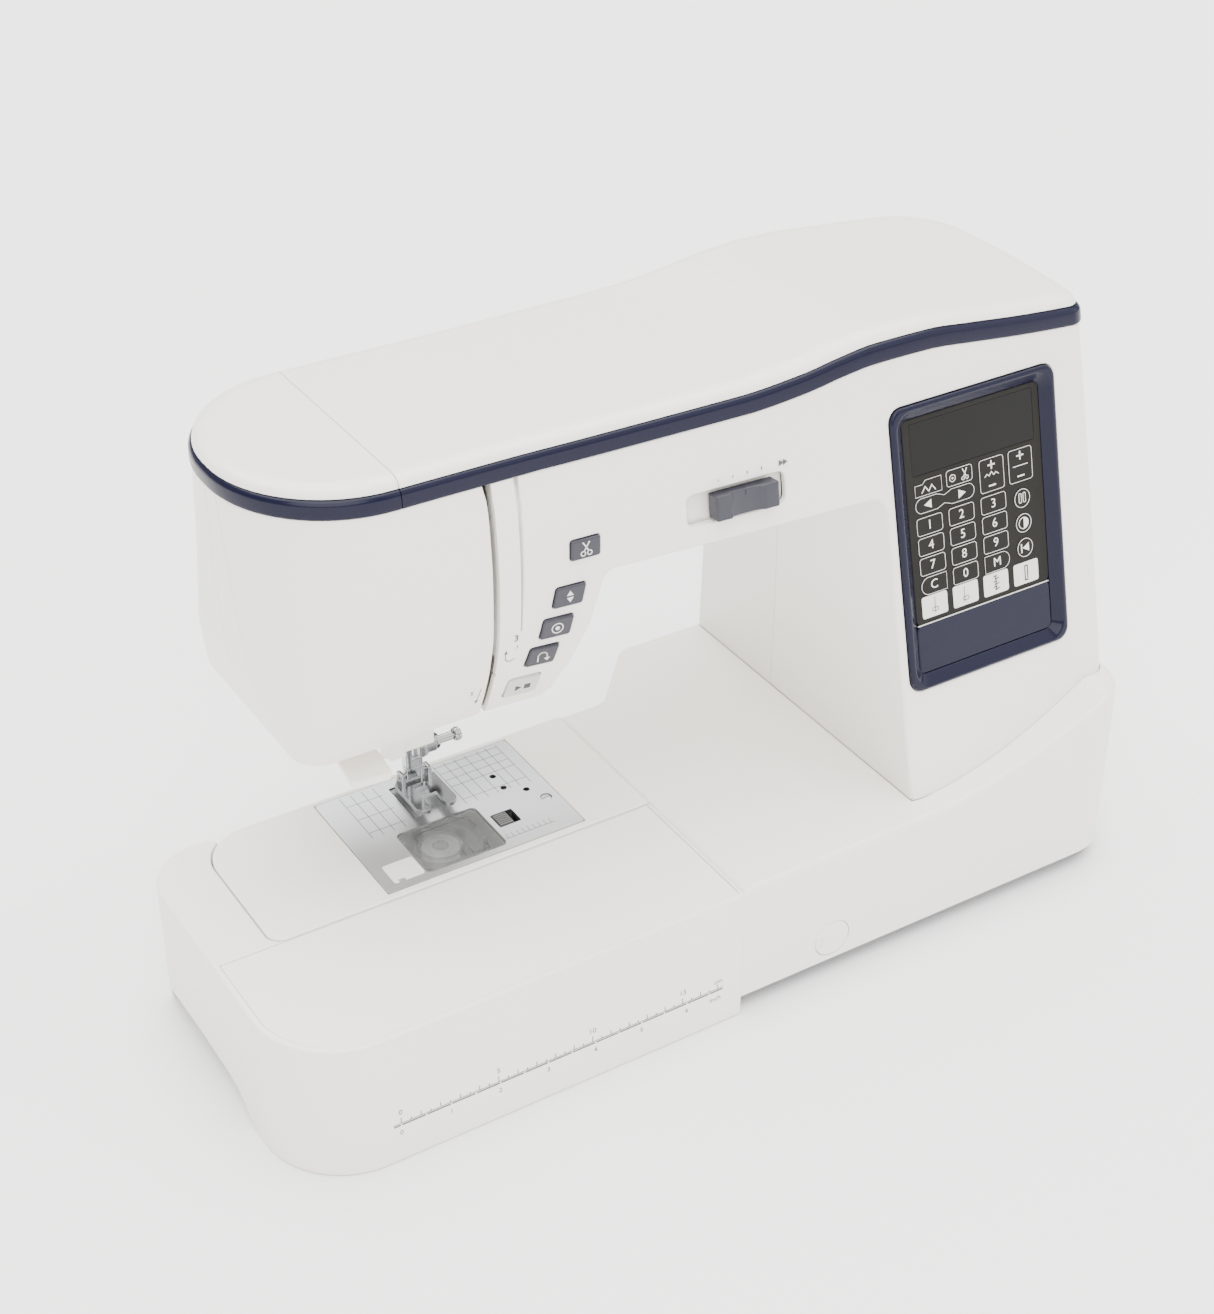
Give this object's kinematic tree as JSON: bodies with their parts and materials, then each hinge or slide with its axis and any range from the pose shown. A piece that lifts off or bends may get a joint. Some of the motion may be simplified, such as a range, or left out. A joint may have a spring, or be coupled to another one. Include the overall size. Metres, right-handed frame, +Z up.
{
  "type": "sewing machine",
  "caption": "Computerised free-arm sewing machine with a removable extension table, hinged top lid, control panel with number keys, needle, foot and handwheel.",
  "frame": {"origin": "middle of the footprint, on the surface the machine stands on", "axes": "+X from the extension table towards the handwheel, +Y from the sewer's side towards the back, +Z up"},
  "size_m": [0.492, 0.214, 0.306],
  "materials": {
    "ivory_cover": "satin moulded",
    "navy_trim": "glossy moulded",
    "slate_button": "fine matt",
    "clear_button": "translucent",
    "keypad_film": "printed film",
    "screen_glass": "polished",
    "brushed_plate": "brushed",
    "chrome_parts": "polished",
    "cast_frame": "as cast",
    "shaft_steel": "turned",
    "motor_case": "painted",
    "belt_rubber": "ribbed",
    "foot_rubber": "matt",
    "base_grey": "textured",
    "black_plastic": "fine matt",
    "clear_plastic": "transparent"
  },
  "bodies": {
    "machine_body": {"front_cover": "ivory_cover", "rear_cover": "ivory_cover", "base_housing": "ivory_cover", "base_plate": "base_grey", "rubber_foot_front_left": "foot_rubber", "rubber_foot_front_right": "foot_rubber", "rubber_foot_rear_left": "foot_rubber", "rubber_foot_rear_right": "foot_rubber", "free_arm": "ivory_cover", "needle_plate": "brushed_plate", "panel_bezel": "navy_trim", "keypad_membrane": "keypad_film", "display_screen": "screen_glass", "head_cap": "ivory_cover", "head_trim": "navy_trim", "top_deck": "ivory_cover", "spool_pin": "ivory_cover", "main_frame": "cast_frame", "motor": "motor_case", "drive_belt": "belt_rubber", "power_inlet": "black_plastic", "bobbin_holder": "black_plastic", "thread_guard": "ivory_cover"},
    "face_cover_door": {"face_cover": "ivory_cover"},
    "lid": {"top_lid": "ivory_cover", "lid_trim": "navy_trim"},
    "handle": {"carrying_handle": "ivory_cover"},
    "handwheel_shaft": {"handwheel": "ivory_cover", "main_shaft": "shaft_steel"},
    "motor_pulley_body": {"motor_pulley": "shaft_steel"},
    "lower_shaft_body": {"lower_shaft": "shaft_steel"},
    "hook": {"rotary_hook": "shaft_steel"},
    "bobbin_body": {"bobbin": "clear_plastic"},
    "needle_bar_body": {"needle_bar": "chrome_parts", "needle_clamp": "chrome_parts", "needle": "chrome_parts"},
    "clamp_screw_body": {"needle_clamp_screw": "chrome_parts"},
    "take_up": {"take_up_lever": "chrome_parts"},
    "presser_bar_body": {"presser_bar": "chrome_parts", "foot_holder": "chrome_parts"},
    "foot_screw_body": {"foot_screw": "black_plastic"},
    "foot": {"presser_foot": "chrome_parts"},
    "lifter": {"presser_lifter": "ivory_cover"},
    "threader": {"threader_lever": "ivory_cover"},
    "feed": {"feed_dog": "shaft_steel"},
    "drop_lever": {"drop_feed_lever": "slate_button"},
    "table": {"extension_table": "ivory_cover"},
    "storage_lid": {"table_lid": "ivory_cover"},
    "hook_cover_body": {"hook_cover": "clear_plastic"},
    "release_button": {"cover_release_button": "black_plastic"},
    "cut_button": {"thread_cut_button": "slate_button"},
    "needle_button": {"needle_position_button": "slate_button"},
    "lock_button": {"lock_stitch_button": "slate_button"},
    "reverse_key": {"reverse_button": "slate_button"},
    "start_button": {"start_stop_button": "clear_button"},
    "speed_knob": {"speed_slider": "navy_trim"},
    "tension_dial": {"thread_tension_dial": "navy_trim"},
    "winder": {"bobbin_winder_spindle": "chrome_parts"},
    "rocker": {"power_switch": "black_plastic"},
    "service_cap": {"access_cap": "ivory_cover"}
  },
  "joints": [
    {"name": "face_cover_hinge", "type": "hinge", "parent": "machine_body", "child": "face_cover_door", "pos_m": [-0.208, 0.023, 0.22], "axis": [0, 0, -1], "range_deg": [0, 100]},
    {"name": "top_lid_hinge", "type": "hinge", "parent": "machine_body", "child": "lid", "pos_m": [0.044, 0.094, 0.28], "axis": [-1, 0, 0], "range_deg": [0, 95]},
    {"name": "handle_hinge", "type": "hinge", "parent": "machine_body", "child": "handle", "pos_m": [0.014, 0.0985, 0.262], "axis": [1, 0, 0], "range_deg": [0, 100]},
    {"name": "handwheel_turn", "type": "hinge", "parent": "machine_body", "child": "handwheel_shaft", "pos_m": [0.234, 0.021, 0.246], "axis": [1, 0, 0], "continuous": true},
    {"name": "motor_pulley_turn", "type": "hinge", "parent": "machine_body", "child": "motor_pulley_body", "pos_m": [0.183, -0.023, 0.138], "axis": [1, 0, 0], "continuous": true},
    {"name": "lower_shaft_turn", "type": "hinge", "parent": "machine_body", "child": "lower_shaft_body", "pos_m": [0.054, 0.012, 0.03], "axis": [1, 0, 0], "continuous": true},
    {"name": "hook_turn", "type": "hinge", "parent": "machine_body", "child": "hook", "pos_m": [-0.111, 0.012, 0.05], "axis": [0, 0, 1], "continuous": true},
    {"name": "bobbin_turn", "type": "hinge", "parent": "machine_body", "child": "bobbin_body", "pos_m": [-0.111, 0.012, 0.06], "axis": [0, 0, 1], "continuous": true},
    {"name": "needle_bar_slide", "type": "slide", "parent": "machine_body", "child": "needle_bar_body", "axis": [0, 0, -1], "range_m": [0, 0.015]},
    {"name": "clamp_screw_turn", "type": "hinge", "parent": "needle_bar_body", "child": "clamp_screw_body", "pos_m": [-0.096, 0.039, 0.1065], "axis": [1, 0, 0], "continuous": true},
    {"name": "take_up_swing", "type": "hinge", "parent": "machine_body", "child": "take_up", "pos_m": [-0.1027, 0.005, 0.232], "axis": [1, 0, 0], "range_deg": [-10, 20]},
    {"name": "presser_bar_slide", "type": "slide", "parent": "machine_body", "child": "presser_bar_body", "axis": [0, 0, 1], "range_m": [-0.003, 0.003]},
    {"name": "foot_screw_turn", "type": "hinge", "parent": "presser_bar_body", "child": "foot_screw_body", "pos_m": [-0.094, 0.05, 0.098], "axis": [1, 0, 0], "continuous": true},
    {"name": "foot_tilt", "type": "hinge", "parent": "presser_bar_body", "child": "foot", "pos_m": [-0.106, 0.047, 0.086], "axis": [1, 0, 0], "range_deg": [-2, 2]},
    {"name": "lifter_swing", "type": "hinge", "parent": "machine_body", "child": "lifter", "pos_m": [-0.092, 0.068, 0.168], "axis": [1, 0, 0], "range_deg": [-15, 15]},
    {"name": "threader_slide", "type": "slide", "parent": "machine_body", "child": "threader", "axis": [0, 0, -1], "range_m": [0, 0.03], "stiffness_N_per_m": 60, "springref_m": -0.01},
    {"name": "feed_drop", "type": "slide", "parent": "machine_body", "child": "feed", "axis": [0, 0, -1], "range_m": [0, 0.0025]},
    {"name": "drop_lever_slide", "type": "slide", "parent": "machine_body", "child": "drop_lever", "axis": [1, 0, 0], "range_m": [0, 0.008]},
    {"name": "table_slide", "type": "slide", "parent": "machine_body", "child": "table", "axis": [-1, 0, 0], "range_m": [0, 0.25]},
    {"name": "table_lid_hinge", "type": "hinge", "parent": "table", "child": "storage_lid", "pos_m": [-0.126, -0.1038, 0.075], "axis": [1, 0, 0], "range_deg": [0, 100]},
    {"name": "hook_cover_lift", "type": "slide", "parent": "machine_body", "child": "hook_cover_body", "axis": [0, 0, 1], "range_m": [0, 0.04]},
    {"name": "cover_release_slide", "type": "slide", "parent": "machine_body", "child": "release_button", "axis": [1, 0, 0], "range_m": [0, 0.003], "stiffness_N_per_m": 200, "springref_m": -0.001},
    {"name": "thread_cut_press", "type": "slide", "parent": "machine_body", "child": "cut_button", "axis": [0.0687, 0.9934, -0.092], "range_m": [0, 0.0012], "stiffness_N_per_m": 400, "springref_m": -0.0005},
    {"name": "needle_position_press", "type": "slide", "parent": "machine_body", "child": "needle_button", "axis": [0.0999, 0.995, 0.0083], "range_m": [0, 0.0012], "stiffness_N_per_m": 400, "springref_m": -0.0005},
    {"name": "lock_stitch_press", "type": "slide", "parent": "machine_body", "child": "lock_button", "axis": [0.1266, 0.9781, 0.1649], "range_m": [0, 0.0012], "stiffness_N_per_m": 400, "springref_m": -0.0005},
    {"name": "reverse_press", "type": "slide", "parent": "machine_body", "child": "reverse_key", "axis": [0.1592, 0.9476, 0.2771], "range_m": [0, 0.0012], "stiffness_N_per_m": 400, "springref_m": -0.0005},
    {"name": "start_stop_press", "type": "slide", "parent": "machine_body", "child": "start_button", "axis": [0.1218, 0.9226, 0.3659], "range_m": [0, 0.0012], "stiffness_N_per_m": 400, "springref_m": -0.0005},
    {"name": "speed_slide", "type": "slide", "parent": "machine_body", "child": "speed_knob", "axis": [0.9978, -0.0659, 0], "range_m": [-0.011, 0.005]},
    {"name": "tension_dial_turn", "type": "hinge", "parent": "machine_body", "child": "tension_dial", "pos_m": [-0.074, 0.001, 0.27], "axis": [0, 0, 1], "range_deg": [-150, 150]},
    {"name": "bobbin_winder_turn", "type": "hinge", "parent": "machine_body", "child": "winder", "pos_m": [0.184, 0.005, 0.27], "axis": [0, 0, 1], "continuous": true},
    {"name": "power_switch_rock", "type": "hinge", "parent": "machine_body", "child": "rocker", "pos_m": [0.2385, 0.015, 0.039], "axis": [0, 0, 1], "range_deg": [-6, 6]},
    {"name": "access_cap_pull", "type": "slide", "parent": "machine_body", "child": "service_cap", "axis": [0, -1, 0], "range_m": [0, 0.02]}
  ],
  "couplings": [
    {"joint": "motor_pulley_turn", "follows": "handwheel_turn", "ratio": 2.6667},
    {"joint": "lower_shaft_turn", "follows": "handwheel_turn", "ratio": 1},
    {"joint": "hook_turn", "follows": "handwheel_turn", "ratio": 2},
    {"joint": "lifter_swing", "follows": "presser_bar_slide", "rad_per_m": 87},
    {"joint": "feed_drop", "follows": "drop_lever_slide", "ratio": 0.3125}
  ]
}
